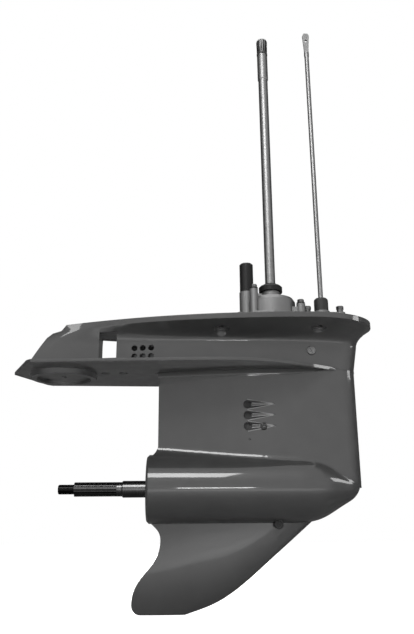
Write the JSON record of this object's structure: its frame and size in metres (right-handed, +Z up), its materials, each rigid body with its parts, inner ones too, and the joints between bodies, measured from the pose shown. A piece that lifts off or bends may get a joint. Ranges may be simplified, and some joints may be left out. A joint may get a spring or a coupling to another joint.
{
  "type": "outboard lower unit",
  "caption": "Outboard lower unit: cast gear housing with drive shaft, water pump, shift rod, bevel gears, dog clutch and bare propeller shaft.",
  "frame": {"origin": "centre of the four mounting bolts, on the top mating face", "axes": "+X forward, +Y to port, +Z up along the drive shaft; the propeller shaft runs aft along -X"},
  "size_m": [0.679, 0.2378, 1.196],
  "materials": {
    "housing_paint": "gloss dark grey paint",
    "cast_alloy": "bare cast alloy",
    "shaft_steel": "ground steel",
    "gear_steel": "hardened and oiled",
    "bearing_steel": "polished",
    "stainless": "stainless",
    "bronze": "sintered bronze",
    "black_rubber": "matt",
    "black_plastic": "satin",
    "gasket_fibre": "pressed fibre"
  },
  "bodies": {
    "housing": {"gear_housing": "housing_paint", "vent_plug": "stainless", "drain_plug": "stainless", "plug_gaskets": "gasket_fibre", "water_screens": "black_plastic", "screen_screws": "stainless", "dowel_pins": "shaft_steel", "pinion_bearing": "bearing_steel", "upper_bearing_shims": "bearing_steel", "upper_bearing_cup": "bearing_steel", "bearing_lock_ring": "bearing_steel", "forward_bearing_cup": "bearing_steel", "forward_shims": "bearing_steel", "reverse_bearing_outer": "bearing_steel", "lever_pin": "shaft_steel", "shift_rod_bushing": "bronze", "shift_rod_cover": "cast_alloy", "shift_cover_gasket": "gasket_fibre", "shift_boot": "black_rubber", "shift_cover_bolts": "stainless", "bearing_carrier": "cast_alloy", "carrier_o_ring": "black_rubber", "carrier_needle_bearing": "bearing_steel", "propshaft_seals": "black_rubber", "tab_washer": "stainless", "carrier_lock_ring": "stainless", "seal_housing": "cast_alloy", "seal_housing_o_ring": "black_rubber", "driveshaft_seals": "black_rubber", "pump_gasket": "gasket_fibre", "pump_plate": "stainless", "pump_liner": "stainless", "pump_housing": "cast_alloy", "water_tube": "black_plastic", "pump_bolts": "stainless", "pump_bolt_washers": "black_plastic"},
    "drive": {"driveshaft": "shaft_steel", "driveshaft_o_ring": "black_rubber", "pinion_gear": "gear_steel", "pinion_nut": "shaft_steel", "impeller": "black_rubber", "impeller_key": "shaft_steel", "slinger_ring": "black_plastic", "upper_bearing_cone": "bearing_steel", "upper_bearing_rollers": "bearing_steel"},
    "forward": {"forward_gear": "gear_steel", "forward_gear_bushing": "bronze", "forward_bearing_cone": "bearing_steel", "forward_bearing_rollers": "bearing_steel"},
    "reverse": {"reverse_gear": "gear_steel", "reverse_bearing_inner": "bearing_steel", "reverse_bearing_rollers": "bearing_steel"},
    "prop": {"propshaft": "shaft_steel", "thrust_washer": "shaft_steel"},
    "clutch": {"clutch_dog": "gear_steel", "clutch_pin": "shaft_steel", "clutch_spring": "shaft_steel", "shift_plunger": "shaft_steel"},
    "lever": {"shift_lever": "gear_steel"},
    "rod": {"shift_rod": "shaft_steel"}
  },
  "joints": [
    {"name": "shaft_spin", "type": "hinge", "parent": "housing", "child": "drive", "pos_m": [0.01, 0, 0], "axis": [0, 0, 1], "continuous": true},
    {"name": "forward_gear_spin", "type": "hinge", "parent": "housing", "child": "forward", "pos_m": [0.045, 0, -0.306], "axis": [1, 0, 0], "continuous": true},
    {"name": "reverse_gear_spin", "type": "hinge", "parent": "housing", "child": "reverse", "pos_m": [-0.03, 0, -0.306], "axis": [1, 0, 0], "continuous": true},
    {"name": "prop_spin", "type": "hinge", "parent": "housing", "child": "prop", "pos_m": [-0.2, 0, -0.306], "axis": [1, 0, 0], "continuous": true},
    {"name": "shift_rod_slide", "type": "slide", "parent": "housing", "child": "rod", "axis": [0, 0, 1], "range_m": [-0.0086, 0.0086]},
    {"name": "lever_swing", "type": "hinge", "parent": "housing", "child": "lever", "pos_m": [0.0773, 0, -0.284], "axis": [0, -1, 0], "range_deg": [-20.6, 20.6]},
    {"name": "clutch_slide", "type": "slide", "parent": "prop", "child": "clutch", "axis": [1, 0, 0], "range_m": [-0.00525, 0.00525]}
  ],
  "couplings": [
    {"joint": "forward_gear_spin", "follows": "shaft_spin", "ratio": -0.5},
    {"joint": "reverse_gear_spin", "follows": "shaft_spin", "ratio": 0.5},
    {"joint": "lever_swing", "follows": "shift_rod_slide", "rad_per_m": 41.667},
    {"joint": "clutch_slide", "follows": "shift_rod_slide", "ratio": 0.60417}
  ]
}
